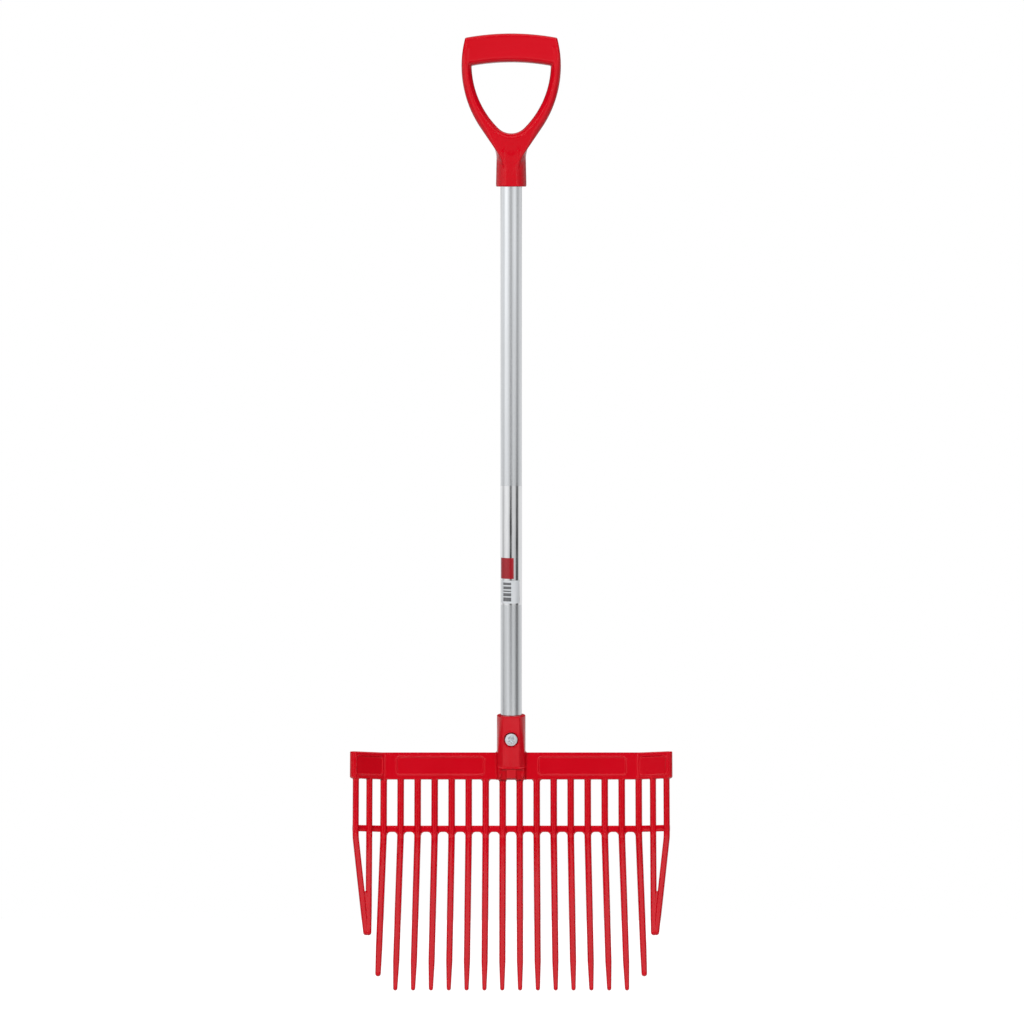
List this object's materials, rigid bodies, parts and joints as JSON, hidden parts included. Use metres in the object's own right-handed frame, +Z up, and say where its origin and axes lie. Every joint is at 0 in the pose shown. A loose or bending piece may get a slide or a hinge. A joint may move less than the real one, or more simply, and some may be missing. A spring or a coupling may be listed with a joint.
{
  "type": "manure fork",
  "caption": "Stable fork with a wide moulded head of bent tines under a panel with folded wings, a crossbar through the tines, a tube shaft and a D-shaped hand grip.",
  "frame": {"origin": "the point under the middle of the hand bar where a wall hook carries the fork", "axes": "+Z up along the shaft towards the grip, the front that the tines reach towards is -Y, +X to the right seen from the front"},
  "size_m": [0.379, 0.2558, 1.0747],
  "materials": {
    "red_plastic": "glossy moulded red plastic with softened edges",
    "bare_tube": "bare drawn aluminium with a satin sheen along its length",
    "fasteners": "bright zinc plate",
    "label": "smooth blank film label"
  },
  "bodies": {
    "root": {"shaft_tube": "bare_tube", "shaft_label": "label", "d_grip": "red_plastic", "grip_screw": "fasteners", "head_socket": "red_plastic", "head_panel": "red_plastic", "head_crossbar": "red_plastic", "head_bolt": "fasteners", "head_nut": "fasteners", "tine_01": "red_plastic", "tine_02": "red_plastic", "tine_03": "red_plastic", "tine_04": "red_plastic", "tine_05": "red_plastic", "tine_06": "red_plastic", "tine_07": "red_plastic", "tine_08": "red_plastic", "tine_09": "red_plastic", "tine_10": "red_plastic", "tine_11": "red_plastic", "tine_12": "red_plastic", "tine_13": "red_plastic", "tine_14": "red_plastic", "tine_15": "red_plastic", "tine_16": "red_plastic", "tine_17": "red_plastic", "tine_18": "red_plastic", "tine_19": "red_plastic", "tine_20": "red_plastic"}
  },
  "joints": []
}
